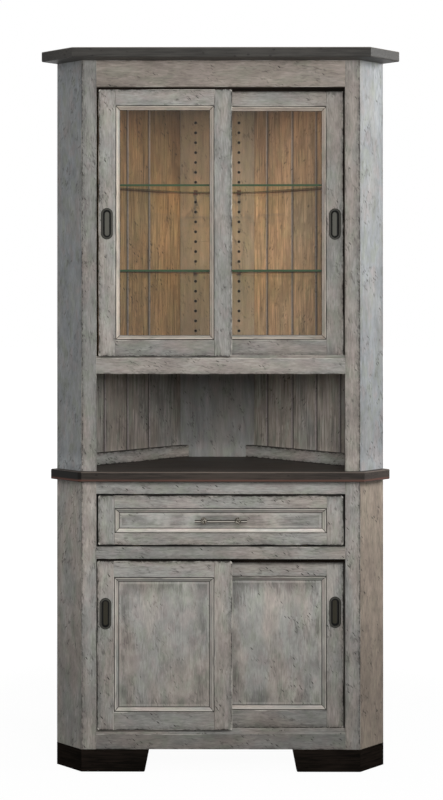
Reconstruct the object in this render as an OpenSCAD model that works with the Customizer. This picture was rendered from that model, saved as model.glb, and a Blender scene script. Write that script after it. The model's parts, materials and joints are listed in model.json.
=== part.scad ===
// Corner hutch: a lit display case behind two sliding glass doors, an open
// nook, and a base with one drawer over two sliding panelled doors.
// Millimetres. X runs across the front, Z is up and the front faces -Y.
// The origin is on the floor, under the middle of the whole outline.

/* [Case plan] */
// Width of the flat front between its two mitred corners
face_w = 824; // [800:2:850]
// How far back each 45 degree return runs
return_d = 78; // [72:1:88]
// Depth from the face to the narrow flat back
case_d = 444; // [434:1:458]
// Thickness of the face frame, return and foot boards
board_t = 20; // [18:1:21]
// Thickness of the wall planks and the back panels
wall_t = 12; // [10:1:13]
// Width of the face-frame stiles
stile_w = 44; // [40:1:46]

/* [Heights] */
// Floor to the top of the cap
overall_h = 2134; // [2120:1:2180]
// Floor to the top of the display deck
deck_z = 1216; // [1206:1:1224]
// Floor to the top of the counter
counter_z = 888; // [876:1:896]
// Floor to the underside of the rail below the drawer
drawer_rail_z = 628; // [620:1:634]
// Floor to the top of the base floor board
floor_z = 111; // [108:1:116]
// Height of the feet
foot_h = 66; // [56:1:72]

/* [Cap and counter] */
// Thickness of the cap and of the counter
slab_t = 30; // [26:1:34]
// How far the cap stands out past the face and the returns
cap_overhang = 61; // [54:1:64]
// How far the counter stands out past the face and the returns
counter_overhang = 24; // [20:1:30]
// Radius of the eased edges of the two slabs
slab_ease = 4; // [2:0.5:6]

/* [Rails] */
// Height of the rail above the glass doors
top_rail_h = 79; // [74:1:84]
// Height of the rail under the display deck
mid_rail_h = 41; // [36:1:46]
// Height of the rail above the drawer
base_top_rail_h = 38; // [34:1:42]
// Height of the rail below the drawer
drawer_rail_h = 36; // [32:1:40]

/* [Sliding doors] */
// Width of each glass door
upper_door_w = 396; // [388:1:398]
// Width of each panelled door
base_door_w = 400; // [390:1:402]
// Thickness of each door
door_t = 20; // [19:0.5:20]
// Width of the door stiles
door_stile_w = 50; // [46:1:54]
// Width of the stile of each left door that laps over the right door
lap_stile_w = 53; // [50:1:56]
// Width of the top rail of each door
door_top_w = 48; // [44:1:52]
// Width of the bottom rail of the glass doors
glass_bottom_w = 49; // [46:1:54]
// Width of the bottom rail of the panelled doors
panel_bottom_w = 53; // [48:1:56]
// Width of the mitred moulding inside every frame
moulding_w = 14; // [12:1:16]
// Depth of the panel or glass behind the front of its frame
panel_depth = 9; // [8:0.5:10]
// Gap left of the closed left glass door
upper_left_gap = 6; // [2:0.5:6]
// Gap left of the closed left panelled door
base_left_gap = 2; // [1:0.5:4]
// Gap right of both closed right doors
right_gap = 2.5; // [2:0.5:6]

/* [Door tracks] */
// Thickness of the sill strip that carries the doors
sill_t = 6; // [5:0.5:7]
// Thickness of the head strip above the doors
head_t = 3; // [2.5:0.5:3.5]
// Width of the rib that each door runs on
rib_w = 4; // [3:0.5:5]
// Height of each rib
rib_h = 9; // [7:0.5:9]

/* [Drawer] */
// Clearance round the drawer front
drawer_gap = 5; // [3:0.5:6]
// Outside width of the drawer box
box_w = 460; // [430:2:470]
// Depth of the drawer box, and length of its slides
box_d = 254; // [230:1:256]
// Height of the drawer box
box_h = 112; // [96:2:116]
// Thickness of the box boards
box_t = 14; // [12:1:16]

/* [Shelves] */
// Height of the lowest pin hole behind the glass doors
first_hole_z = 1294; // [1290:1:1300]
// Pitch of the pin holes
hole_pitch = 32; // [31:0.5:32]
// Number of pin holes in each column
hole_count = 22; // [16:1:22]
// Thickness of the glass shelves
glass_shelf_t = 6; // [5:0.5:8]
// Hole that carries the lower glass shelf, counted from 0
lower_shelf_hole = 6; // [3:1:8]
// Hole that carries the upper glass shelf, counted from 0
upper_shelf_hole = 14; // [11:1:15]

/* [Pulls] */
// Width of the flush pulls
flush_w = 35; // [30:1:38]
// Height of the flush pulls
flush_h = 93; // [80:1:100]
// Height of the middle of the upper flush pulls
upper_pull_z = 1620; // [1560:1:1680]
// Height of the middle of the lower flush pulls
base_pull_z = 466; // [400:1:500]
// Length of the drawer pull's bar
bar_l = 155; // [145:1:165]
// Thickness of that bar
bar_d = 9; // [8:0.5:10]
// Spacing of the two posts that carry the bar
post_spacing = 100; // [96:1:104]

/* [Hidden] */

$fn = 48;
root2 = sqrt(2);
joint = 0.2;             // hairline between two boards that butt or mitre
cut = 1;                 // how far a cutting solid runs past what it cuts

// Colours
grey_paint = [0.57, 0.56, 0.53];
grey_shade = [0.47, 0.46, 0.44];
tan_wood = [0.62, 0.50, 0.36];
dark_wood = [0.20, 0.18, 0.17];
pale_wood = [0.80, 0.70, 0.54];
glass_green = [0.70, 0.84, 0.76, 0.5];
gunmetal = [0.26, 0.26, 0.25];
pewter = [0.45, 0.44, 0.40];
zinc = [0.72, 0.73, 0.75];
lamp_white = [0.98, 0.94, 0.82];

// Case plan, measured back from the front of the face frame
face_y = (cap_overhang - case_d)/2;
wall_sum = face_w/2 + 2*return_d;
opening_x = face_w/2 - stile_w;
back_x = wall_sum - case_d;
inner_back_x = back_x - wall_t*tan(22.5);
wall_length = (case_d - return_d)*root2 - wall_t*tan(22.5) - board_t;

// Heights
case_top_z = overall_h - slab_t;
display_top_z = case_top_z - top_rail_h;
counter_under_z = counter_z - slab_t;
sub_top_t = 19;
deck_t = 19;
dust_t = 12;
drawer_open_z = drawer_rail_z + drawer_rail_h;
drawer_open_top_z = counter_under_z - base_top_rail_h;

// Sliding doors: the left door of each pair runs in front
door_setback = 3;
door_plane_gap = 4.5;
front_door_y = door_setback;
rear_door_y = front_door_y + door_t + door_plane_gap;
track_d = rear_door_y + door_t + 2.5;
door_foot_gap = 5;
door_head_gap = 6.5;
sill_lip = 3;
head_track_y = 9;
rib_play = 1;
door_ease = 2;
door_corner_r = 7;
upper_door_z = deck_z + sill_t + door_foot_gap;
upper_door_h = display_top_z - door_head_gap - upper_door_z;
base_door_z = floor_z + sill_t + door_foot_gap;
base_door_h = drawer_rail_z - door_head_gap - base_door_z;
upper_left_x = -opening_x + upper_left_gap;
base_left_x = -opening_x + base_left_gap;
upper_right_x = opening_x - right_gap - upper_door_w;
base_right_x = opening_x - right_gap - base_door_w;

// Each door as [width, left stile, right stile]
upper_left_door = [upper_door_w, door_stile_w, lap_stile_w];
upper_right_door = [upper_door_w, door_stile_w, door_stile_w];
base_left_door = [base_door_w, door_stile_w, lap_stile_w];
base_right_door = [base_door_w, door_stile_w, door_stile_w];

// Panels and glass
panel_t = 6;
panel_groove = 8;
pane_t = 4;
stop_w = 10;

// Drawer
drawer_y = 2;
drawer_end_w = 49;
drawer_top_w = 37;
drawer_bottom_w = 35;
front_w = 2*(opening_x - drawer_gap);
front_h = drawer_open_top_z - drawer_open_z - 2*drawer_gap;
front_z = drawer_open_z + drawer_gap;
box_y = drawer_y + door_t;
box_z = front_z + 12;
bottom_t = 6;
bottom_z = box_z + 10;
tail_count = 3;
tail_w = 27;
tail_lean = 0.2;
slide_room = 12.7;
slide_z = box_z + box_h/2;
slide_y = box_y + 2;
hanger_t = 16;
hanger_x = box_w/2 + slide_room;

// Shelf supports
shelf_front_y = 60;
hole_d = 6.4;
hole_deep = 9;
back_hole_x = 70;
return_hole_y = 72;
return_hole_x = face_w/2 - board_t*root2 + return_hole_y;
ledge_drop = 7;
ledge_l = 22;
ledge_w = 8;
plate_w = 13;
ledge_t = 2;
base_hole_z = 302;
base_hole_count = 5;
base_shelf_hole = 2;
base_shelf_t = 18;
shelf_clip = 77;

// Plate groove in the top of each glass shelf, along the walls and the back
groove_in = 23.5;
groove_w = 6;
groove_d = 1.5;

// Puck lights
lamp_x = 60;
lamp_y = 314;
lamp_can_r = 30;
lamp_flange_r = 36;
lamp_lens_r = 26;
lamp_flange_t = 3;

// Joints of the wall planks, measured from the back corner along each wall
left_joints = [140, 234, 330, 424];
right_joints = [56, 163, 261, 356, 442];

// Plan geometry

// Half-width of the return line and of the wall line at depth y, moved in by inset
function return_x(y, inset) = face_w/2 + y - inset*root2;
function wall_x(y, inset) = wall_sum - y - inset*root2;

// Six-sided outline of the case, moved in from its face, returns, walls and back
function case_outline(face_in, return_in, wall_in, back_in) =
    let (elbow_y = (wall_sum - face_w/2 + (return_in - wall_in)*root2)/2,
         rear_y = case_d - back_in,
         right = [[return_x(face_in, return_in), face_in],
                  [return_x(elbow_y, return_in), elbow_y],
                  [wall_x(rear_y, wall_in), rear_y]])
    concat(right, [for (i = [2:-1:0]) [-right[i][0], right[i][1]]]);

// Rectangle with rounded corners, as points; one corner at the origin
function round_rect(w, h, r) = [for (corner = [[w - r, h - r, 0], [r, h - r, 90],
        [r, r, 180], [w - r, r, 270]], a = [0:22.5:90])
    [corner[0] + r*cos(corner[2] + a), corner[1] + r*sin(corner[2] + a)]];

module at_face() translate([0, face_y, 0]) children();
module both_sides() { children(); mirror([1, 0, 0]) children(); }
module slab_of(points, z, h) translate([0, 0, z]) linear_extrude(h) polygon(points);

// Outline drawn in X and Z, carried back along Y from y
module carried_back(y, depth) translate([0, y + depth, 0]) rotate([90, 0, 0]) linear_extrude(depth)
    children();

// Slab over the whole case with its front and return edges rounded over
module eased_slab(overhang, z) at_face() hull() for (a = [0:22.5:90])
    slab_of(case_outline(slab_ease*(1 - cos(a)) - overhang, slab_ease*(1 - cos(a)) - overhang, 0, 0),
        z + slab_ease*(1 - sin(a)), slab_t - 2*slab_ease*(1 - sin(a)));

// Frame of the local axes of the right wall: X runs forward from the back
// corner along the wall's inner face, Y runs out through the wall
module on_right_wall() translate([inner_back_x, case_d - wall_t, 0]) rotate([0, 0, -45]) children();

// Case boards

module stile(z, h) slab_of([[opening_x, 0], [face_w/2, 0], [return_x(board_t, board_t), board_t],
    [opening_x, board_t]], z, h);

module return_board(z, h) slab_of([[face_w/2, 0], [face_w/2 + return_d, return_d],
    [wall_x(return_d + board_t/root2, 0), return_d + board_t/root2],
    [return_x(board_t, board_t), board_t]], z, h);

// Rail between the stiles, with its long edges eased
module rail(z, h, ease = 1.5) translate([-opening_x, 0, z]) rotate([90, 0, 90])
    linear_extrude(2*opening_x) polygon(round_rect(board_t, h, ease));

module wall_board(z, h) on_right_wall() slab_of([[0, 0], [wall_length, 0],
    [wall_length, wall_t], [-wall_t*tan(22.5), wall_t]], z, h);

module flat_back(z, h) slab_of([[-back_x, case_d], [back_x, case_d],
    [inner_back_x, case_d - wall_t], [-inner_back_x, case_d - wall_t]], z, h);

// One tongue-and-groove plank from a to b along the wall, with V edges
module plank(a, b, first, last, z, h) {
    v = min(3.2, wall_t/2 - 2.4);
    mid = wall_t/2;
    reach = 5;
    right = b - joint/2;
    left = a + joint/2;
    tongue = [[b - v, 0], [right, v], [right, mid - 1.8], [b + reach, mid - 1.8],
        [b + reach, mid + 1.8], [right, mid + 1.8], [right, wall_t]];
    groove = [[left, wall_t], [left, mid + 2.2], [a + reach + 1, mid + 2.2],
        [a + reach + 1, mid - 2.2], [left, mid - 2.2], [left, v], [a + v, 0]];
    slab_of(concat(last ? [[b, 0], [b, wall_t]] : tongue,
        first ? [[-wall_t*tan(22.5), wall_t], [0, 0]] : groove), z, h);
}

module plank_wall(joints) {
    edges = concat([0], joints, [wall_length]);
    last_plank = len(edges) - 2;
    at_face() on_right_wall() for (i = [0:last_plank])
        plank(edges[i], edges[i + 1], i == 0, i == last_plank, counter_z, case_top_z - counter_z);
}

// Shelf-pin holes: children are repeated at every hole of one column
module hole_rows(z0, count) for (i = [0:count - 1]) translate([0, 0, z0 + i*hole_pitch]) children();
module pin_hole() translate([0, -cut, 0]) rotate([-90, 0, 0]) cylinder(d = hole_d, h = hole_deep + cut);
module at_back_pins() for (s = [-1, 1]) translate([s*back_hole_x, case_d - wall_t, 0]) children();
module at_return_pin() translate([return_hole_x, return_hole_y, 0]) rotate([0, 0, -135]) children();

// Angle bracket on a peg; the shelf lies on its lower leg
module shelf_support() {
    rotate([-90, 0, 0]) cylinder(d = hole_d - 0.1, h = hole_deep - 1);
    translate([-plate_w/2, -ledge_t, -ledge_drop - ledge_t])
        cube([plate_w, ledge_t, ledge_drop + ledge_t + 6]);
    translate([-ledge_w/2, -ledge_l, -ledge_drop - ledge_t]) cube([ledge_w, ledge_l, ledge_t]);
}

module supports_at(z) at_face() translate([0, 0, z]) {
    at_back_pins() shelf_support();
    both_sides() at_return_pin() shelf_support();
}

// Groove that keeps plates stood on edge from sliding, open at its front ends
module plate_groove(z) {
    near = wall_t + 3 + groove_in;
    far = near + groove_w;
    at_face() difference() {
        slab_of(case_outline(-60, -60, near, near), z, groove_d + cut);
        slab_of(case_outline(-70, -70, far, far), z - cut, groove_d + 3*cut);
    }
}

// Glass shelf: the case outline with its two back corners clipped
module glass_shelf(z) {
    edge = 3;
    full = case_outline(shelf_front_y, board_t + edge, wall_t + edge, wall_t + edge);
    clip = shelf_clip/root2;
    right = [full[0], full[1], full[2] + [clip, -clip], full[2] - [shelf_clip, 0]];
    difference() {
        at_face() slab_of(concat(right, [for (i = [3:-1:0]) [-right[i][0], right[i][1]]]),
            z, glass_shelf_t);
        plate_groove(z + glass_shelf_t - groove_d);
    }
}

// Frames, mouldings and doors

// Section of the moulding as [depth, inward] points: a sunk quirk at the
// frame, a half-round bead, and a cove that runs down to the panel
function moulding_section() = let (w = moulding_w, d = panel_depth, quirk = 1.6, bead_r = 2)
    concat([[d, 0], [5.2, 0], [5, quirk]],
        [for (a = [0:30:180]) [1 + bead_r*(1.1 - sin(a)), quirk + bead_r*(1 - cos(a))]],
        [for (a = [0:22.5:90]) [3.8 + (d - 4.8)*sin(a),
            quirk + 2*bead_r + (w - quirk - 2*bead_r - 0.6)*(1 - cos(a))]],
        [[d - 0.5, w], [d, w]]);

// Plain square glazing stop behind the glass
function stop_section() = let (back = panel_depth + pane_t)
    [[back, 0], [door_t - 1, 0], [door_t - 1, stop_w], [back, stop_w]];

// Strip of the given section along X, mitred at both ends
module mitred_strip(length, width, section) intersection() {
    rotate([90, 0, 90]) linear_extrude(length) polygon(section);
    carried_back(-cut, door_t + 2*cut) polygon([[joint/2, 0], [length - joint/2, 0],
        [length - width - joint/2, width], [width + joint/2, width]]);
}

module mitred_frame(w, h, width, section) {
    mitred_strip(w, width, section);
    translate([0, 0, h]) mirror([0, 0, 1]) mitred_strip(w, width, section);
    mirror([1, 0, 0]) rotate([0, -90, 0]) mitred_strip(h, width, section);
    translate([w, 0, 0]) rotate([0, -90, 0]) mitred_strip(h, width, section);
}

// Two stiles that run full height and two rails between them; the front is
// given as [width, left stile, right stile]
module frame_boards(front, h, top, bottom) intersection() {
    union() {
        for (side = [[0, front[1]], [front[0] - front[2], front[2]]]) translate([side[0], 0, 0])
            linear_extrude(h) polygon(round_rect(side[1], door_t, door_ease));
        for (part = [[0, bottom], [h - top, top]]) translate([front[1] + joint, 0, part[0]])
            rotate([90, 0, 90]) linear_extrude(clear_w(front) - 2*joint)
            polygon(round_rect(door_t, part[1], door_ease));
    }
    carried_back(-cut, door_t + 2*cut) polygon(round_rect(front[0], h, door_corner_r));
}

// Slot in the inner edges of a frame that holds its panel
module panel_slot(front, h, top, bottom) translate([front[1] - panel_groove, panel_depth - 0.1,
    bottom - panel_groove]) cube([clear_w(front) + 2*panel_groove, panel_t + 0.2,
    h - top - bottom + 2*panel_groove]);

// Grooves along the bottom and top edges of a door that run on the ribs
module rib_grooves(w, h) {
    sill_groove = rib_h - door_foot_gap + 0.5;
    head_groove = rib_h + head_t - door_head_gap + sill_groove;
    for (run = [[-cut, sill_groove], [h - head_groove, head_groove]])
        translate([-cut, (door_t - rib_w)/2 - rib_play, run[0]])
        cube([w + 2*cut, rib_w + 2*rib_play, run[1] + cut]);
}

// Pocket for the cup of a flush pull, middle at the origin
module pull_pocket() obround(flush_w/2 - 5.2, flush_h/2 - flush_w/2, -cut, 9.6 + cut);

// Upright slot shape with round ends, carried back from y
module obround(r, half, y, depth) translate([0, y, 0]) {
    for (z = [-half, half]) translate([0, 0, z]) rotate([-90, 0, 0]) cylinder(r = r, h = depth);
    translate([-r, 0, -half]) cube([2*r, depth, 2*half]);
}

module door_frame(door, h, bottom, panelled, pull_x, pull_z) difference() {
    frame_boards(door, h, door_top_w, bottom);
    rib_grooves(door[0], h);
    if (panelled) panel_slot(door, h, door_top_w, bottom);
    translate([pull_x, 0, pull_z]) pull_pocket();
}

module in_door_opening(bottom) translate([door_stile_w, 0, bottom]) children();
function clear_w(front) = front[0] - front[1] - front[2];
function clear_h(h, bottom) = h - door_top_w - bottom;

module door_moulding(door, h, bottom) in_door_opening(bottom)
    mitred_frame(clear_w(door), clear_h(h, bottom), moulding_w, moulding_section());

module glass_stops(door, h, bottom) in_door_opening(bottom)
    mitred_frame(clear_w(door), clear_h(h, bottom), stop_w, stop_section());

module door_pane(door, h, bottom) in_door_opening(bottom) translate([1, panel_depth, 1])
    cube([clear_w(door) - 2, pane_t, clear_h(h, bottom) - 2]);

module door_panel(door, h, bottom) in_door_opening(bottom)
    translate([1 - panel_groove, panel_depth, 1 - panel_groove])
    cube([clear_w(door) + 2*(panel_groove - 1), panel_t, clear_h(h, bottom) + 2*(panel_groove - 1)]);

// Section of the flush pull as [radius, depth] points: dished cup, wall,
// rolled lip and bevelled rim
function flush_section() = let (r = flush_w/2, cup = r - 6.5)
    concat([[0, 9.2], [0, 8]],
        [for (a = [90:-22.5:0]) [cup - 3 + 3*cos(a), 5 + 3*sin(a)]],
        [[cup, -1], [cup + 0.8, -2], [r - 2.2, -2], [r, -0.8], [r, 0], [cup + 1, 0], [cup + 1, 9.2]]);

module flush_pull() {
    straight = flush_h - flush_w;
    for (up = [0, 1]) mirror([0, 0, up]) translate([0, 0, -straight/2]) rotate([-90, 0, 0])
        rotate_extrude(angle = 180) polygon(flush_section());
    both_sides() translate([0, 0, -straight/2]) linear_extrude(straight) polygon(flush_section());
}

// Each door stands at its own corner: left doors in front, right doors behind
module at_upper_left() at_face() translate([upper_left_x, front_door_y, upper_door_z]) children();
module at_upper_right() at_face() translate([upper_right_x, rear_door_y, upper_door_z]) children();
module at_base_left() at_face() translate([base_left_x, front_door_y, base_door_z]) children();
module at_base_right() at_face() translate([base_right_x, rear_door_y, base_door_z]) children();
pull_in = door_stile_w/2;

// Door tracks: a strip with one rib under each door
module track(z, strip_t, front_y, rib_from, rib_up) at_face() {
    translate([-opening_x, front_y, z]) cube([2*opening_x, track_d - front_y, strip_t]);
    for (y = [front_door_y, rear_door_y])
        translate([-opening_x, y + (door_t - rib_w)/2, rib_from]) cube([2*opening_x, rib_w, rib_up]);
}

// Feet

// Front view of a foot: the inner end leans out to the floor and its
// lower corner is rounded
module foot_profile() {
    inner_top = 212;
    lean = 12;
    r = 5;
    hull() {
        translate([inner_top, foot_h - 1]) square([face_w/2 - inner_top, 1]);
        translate([inner_top + lean + r, r]) circle(r);
        translate([inner_top + lean + 2*r, 0]) square([face_w/2 - inner_top - lean - 2*r, 1]);
    }
}

module foot() {
    intersection() {
        slab_of([[0, 0], [face_w/2 - joint, 0], [return_x(board_t, board_t) - joint, board_t],
            [0, board_t]], 0, foot_h);
        carried_back(-cut, board_t + 2*cut) foot_profile();
    }
    return_board(0, foot_h);
}

// Glue block in the corner behind a foot, up to the floor board
module front_block() slab_of([[return_x(board_t, board_t) - 60, board_t],
    [return_x(board_t, board_t), board_t],
    [return_x(board_t + 40, board_t), board_t + 40],
    [return_x(board_t, board_t) - 60, board_t + 40]], 12, floor_z - deck_t - 12);

// Drawer slides: profiles nest between the box side and the hanger

// C section that opens towards the drawer, as [across, up] from the web
module channel(x, web_t, half_h, depth, y, length) translate([x, y, slide_z]) {
    translate([0, 0, -half_h]) cube([web_t, length, 2*half_h]);
    for (s = [-1, 1]) translate([-depth, 0, s*(half_h - web_t/2) - web_t/2])
        cube([depth + web_t, length, web_t]);
}

// Sub-parts: case

module top_cap() color(dark_wood) eased_slab(cap_overhang, case_top_z);
module counter_top() color(dark_wood) eased_slab(counter_overhang, counter_under_z);

module upper_right_stile() color(grey_paint) at_face() stile(counter_z, case_top_z - counter_z);
module upper_left_stile() mirror([1, 0, 0]) upper_right_stile();
module upper_top_rail() color(grey_paint) at_face() rail(display_top_z, top_rail_h);

// The rail under the display rises in a thin lip in front of the sill strip
module upper_mid_rail() color(grey_paint) at_face() difference() {
    rail(deck_z - mid_rail_h, mid_rail_h + sill_t);
    translate([-opening_x - cut, sill_lip, deck_z]) cube([2*(opening_x + cut), board_t, sill_t + cut]);
}

module upper_returns() color(grey_shade) at_face() both_sides() difference() {
    return_board(counter_z, case_top_z - counter_z);
    hole_rows(first_hole_z, hole_count) at_return_pin() pin_hole();
}

module right_planks() color(tan_wood) plank_wall(right_joints);
module left_planks() color(tan_wood) mirror([1, 0, 0]) plank_wall(left_joints);

module upper_back_panel() color(tan_wood) at_face() difference() {
    flat_back(counter_z, case_top_z - counter_z);
    hole_rows(first_hole_z, hole_count) at_back_pins() pin_hole();
}

module sub_top() color(tan_wood) at_face() difference() {
    slab_of(case_outline(board_t, board_t, wall_t, wall_t), display_top_z, sub_top_t);
    both_sides() translate([lamp_x, lamp_y, display_top_z - cut])
        cylinder(r = lamp_can_r + 0.5, h = sub_top_t + 2*cut);
}

module display_deck() color(tan_wood) at_face()
    slab_of(case_outline(board_t, board_t, wall_t, wall_t), deck_z - deck_t, deck_t);

module glass_shelves() color(glass_green) for (i = [lower_shelf_hole, upper_shelf_hole])
    glass_shelf(first_hole_z + i*hole_pitch - ledge_drop);

module shelf_supports() color(zinc) {
    for (i = [lower_shelf_hole, upper_shelf_hole]) supports_at(first_hole_z + i*hole_pitch);
    supports_at(base_hole_z + base_shelf_hole*hole_pitch);
}

// Revolved can with a trim flange below the ceiling and a ledge for the lens
module light_housings() color(zinc) at_face() both_sides() translate([lamp_x, lamp_y, display_top_z])
    rotate_extrude() polygon([[lamp_lens_r + 0.2, -lamp_flange_t], [lamp_flange_r - 1.5, -lamp_flange_t],
        [lamp_flange_r, -1.5], [lamp_flange_r, 0], [lamp_can_r, 0], [lamp_can_r, 18], [0, 18],
        [0, 16.5], [lamp_can_r - 1.5, 16.5], [lamp_can_r - 1.5, 0.5], [lamp_lens_r - 2, 0.5],
        [lamp_lens_r - 2, -0.5], [lamp_lens_r + 0.2, -0.5]]);

module light_lenses() color(lamp_white) at_face() both_sides()
    translate([lamp_x, lamp_y, display_top_z - 2.5]) cylinder(r = lamp_lens_r, h = 2);

// Strip at the foot of each nook wall, scribed to the flat back
module nook_cleats() color(grey_paint) {
    cleat_t = 19;
    cleat_h = 38;
    at_face() both_sides() on_right_wall() slab_of([[0, 0], [wall_length, 0],
        [wall_length, -cleat_t], [-cleat_t, -cleat_t]], counter_z, cleat_h);
}

module head_tracks() color(grey_shade) for (top = [display_top_z, drawer_rail_z])
    track(top - head_t, head_t, head_track_y, top - head_t - rib_h, rib_h);

module sill_tracks() color(grey_paint) for (run = [[deck_z, sill_lip + joint], [floor_z, 0]])
    track(run[0], sill_t, run[1], run[0] + sill_t, rib_h);

// Sub-parts: base

module base_right_stile() color(grey_paint) at_face() stile(foot_h, counter_under_z - foot_h);
module base_left_stile() mirror([1, 0, 0]) base_right_stile();
module base_top_rail() color(grey_paint) at_face() rail(drawer_open_top_z, base_top_rail_h);
module drawer_rail() color(grey_paint) at_face() rail(drawer_rail_z, drawer_rail_h);
module base_bottom_rail() color(grey_paint) at_face() rail(foot_h, floor_z - foot_h);

module base_returns() color(grey_shade) at_face() both_sides() difference() {
    return_board(foot_h, counter_under_z - foot_h);
    hole_rows(base_hole_z, base_hole_count) at_return_pin() pin_hole();
}

module base_walls() color(grey_shade) at_face() both_sides()
    wall_board(foot_h, counter_under_z - foot_h);

module base_back_panel() color(grey_shade) at_face() difference() {
    flat_back(foot_h, counter_under_z - foot_h);
    hole_rows(base_hole_z, base_hole_count) at_back_pins() pin_hole();
}

module base_floor() color(tan_wood) at_face()
    slab_of(case_outline(board_t, board_t, wall_t, wall_t), floor_z - deck_t, deck_t);

module dust_panel() color(pale_wood) at_face()
    slab_of(case_outline(board_t, board_t, wall_t, wall_t), drawer_rail_z, dust_t);

module drawer_hangers() color(pale_wood) at_face() both_sides()
    translate([hanger_x, slide_y, drawer_rail_z + dust_t])
    cube([hanger_t, box_d + 4, drawer_open_top_z - drawer_rail_z - dust_t]);

module slide_outer_members() color(zinc) at_face() both_sides() {
    channel(hanger_x - 1.2, 1.2, 23, 8, slide_y, box_d - 4);
    for (s = [-1, 1]) translate([hanger_x - 9.2, slide_y, slide_z + s*20.9 - 1.4])
        cube([1.2, box_d - 4, 2.8]);
}

module base_shelf() color(tan_wood) at_face()
    slab_of(case_outline(shelf_front_y, board_t + 3, wall_t + 3, wall_t + 3),
        base_hole_z + base_shelf_hole*hole_pitch - ledge_drop, base_shelf_t);

module right_foot() color(dark_wood) at_face() foot();
module left_foot() mirror([1, 0, 0]) right_foot();

// Boards under the back end of each wall and under the flat back
module rear_feet() color(dark_wood) at_face() {
    reach = 110;
    inward = board_t - wall_t;
    both_sides() on_right_wall() slab_of([[reach, -inward], [reach, wall_t],
        [joint - wall_t*tan(22.5), wall_t], [joint + inward*tan(22.5), -inward]], 0, foot_h);
    slab_of([[-back_x, case_d], [back_x, case_d],
        [back_x - board_t*tan(22.5), case_d - board_t],
        [board_t*tan(22.5) - back_x, case_d - board_t]], 0, foot_h);
}

module foot_blocks() color(pale_wood) at_face() {
    both_sides() front_block();
    for (s = [-1, 1]) translate([s*60 - 25, case_d - board_t - 30, 12])
        cube([50, 30, floor_z - deck_t - 12]);
}

// Sub-parts: drawer and its slides

module slide_middle_members() color(zinc) at_face() both_sides()
    channel(hanger_x - 3.4, 1.2, 17.6, 7.4, slide_y, box_d - 4);

module slide_inner_members() color(zinc) at_face() both_sides() mirror([1, 0, 0])
    channel(-box_w/2 - 1.2, 1.2, 13, 6, slide_y, box_d - 4);

module at_drawer_front() at_face() translate([-front_w/2, drawer_y, front_z]) children();
module in_drawer_opening() at_drawer_front() translate([drawer_end_w, 0, drawer_bottom_w]) children();
drawer_front = [front_w, drawer_end_w, drawer_end_w];
drawer_inner_w = clear_w(drawer_front);
drawer_inner_h = front_h - drawer_top_w - drawer_bottom_w;

module drawer_front_frame() color(grey_paint) at_drawer_front() difference() {
    frame_boards(drawer_front, front_h, drawer_top_w, drawer_bottom_w);
    panel_slot(drawer_front, front_h, drawer_top_w, drawer_bottom_w);
}

module drawer_front_moulding() color(grey_paint) in_drawer_opening()
    mitred_frame(drawer_inner_w, drawer_inner_h, moulding_w, moulding_section());

module drawer_front_panel() color(grey_paint) in_drawer_opening()
    translate([1 - panel_groove, panel_depth, 1 - panel_groove])
    cube([drawer_inner_w + 2*(panel_groove - 1), panel_t, drawer_inner_h + 2*(panel_groove - 1)]);

// Row of dovetails as [depth, height], between two depths from the end of a side
module dovetails(from, to, grow) for (i = [0:tail_count - 1]) translate([0, (i + 0.5)*box_h/tail_count])
    polygon([[from, tail_lean*from - tail_w/2 - grow], [to, tail_lean*to - tail_w/2 - grow],
        [to, tail_w/2 - tail_lean*to + grow], [from, tail_w/2 - tail_lean*from + grow]]);

// Side of the box, with a row of tails at both ends
module box_side() rotate([90, 0, 90]) linear_extrude(box_t) {
    translate([box_t + joint, 0]) square([box_d - 2*(box_t + joint), box_h]);
    for (end = [0, 1]) translate([end*box_d, 0]) mirror([end, 0]) dovetails(0, box_t + cut, 0);
}

// Front or back of the box: full width, with the sockets that leave its pins
module box_end() difference() {
    translate([-box_w/2, 0, 0]) cube([box_w, box_t, box_h]);
    both_sides() translate([box_w/2 - box_t - joint, 0, 0]) rotate([90, 0, 90])
        linear_extrude(box_t + joint + cut) dovetails(-cut, box_t + cut, joint);
}

module drawer_box() color(pale_wood) at_face() difference() {
    translate([0, box_y, box_z]) {
        both_sides() translate([box_w/2 - box_t, 0, 0]) box_side();
        box_end();
        translate([0, box_d, 0]) mirror([0, 1, 0]) box_end();
    }
    translate([-box_w/2 + box_t/2, box_y + box_t/2, bottom_z - 0.1])
        cube([box_w - box_t, box_d - box_t, bottom_t + 0.2]);
}

module drawer_bottom() color(pale_wood) at_face()
    translate([-box_w/2 + box_t/2 + 0.5, box_y + box_t/2 + 0.5, bottom_z])
    cube([box_w - box_t - 1, box_d - box_t - 1, bottom_t]);

// Bar through two turned posts with ball heads
module drawer_pull() color(pewter) at_face()
    translate([0, drawer_y + panel_depth, front_z + front_h/2]) {
    reach = 30;
    ball_r = 9.3;
    for (s = [-1, 1]) translate([s*post_spacing/2, 0, 0]) rotate([90, 0, 0]) {
        rotate_extrude() polygon([[0, 0], [8, 0], [8, 2], [5.5, 4], [4.5, 8], [4.5, 16],
            [6, reach - ball_r + 1.5], [6, reach - 4], [0, reach - 4]]);
        translate([0, 0, reach]) sphere(ball_r);
    }
    translate([-bar_l/2, -reach, 0]) rotate([0, 90, 0]) {
        translate([0, 0, 1]) cylinder(d = bar_d, h = bar_l - 2);
        cylinder(d = bar_d - 2, h = bar_l);
    }
}

// Sub-parts: glass doors

module left_glass_door_frame() color(grey_paint) at_upper_left()
    door_frame(upper_left_door, upper_door_h, glass_bottom_w, false, pull_in,
        upper_pull_z - upper_door_z);
module right_glass_door_frame() color(grey_paint) at_upper_right()
    door_frame(upper_right_door, upper_door_h, glass_bottom_w, false, upper_door_w - pull_in,
        upper_pull_z - upper_door_z);

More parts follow.
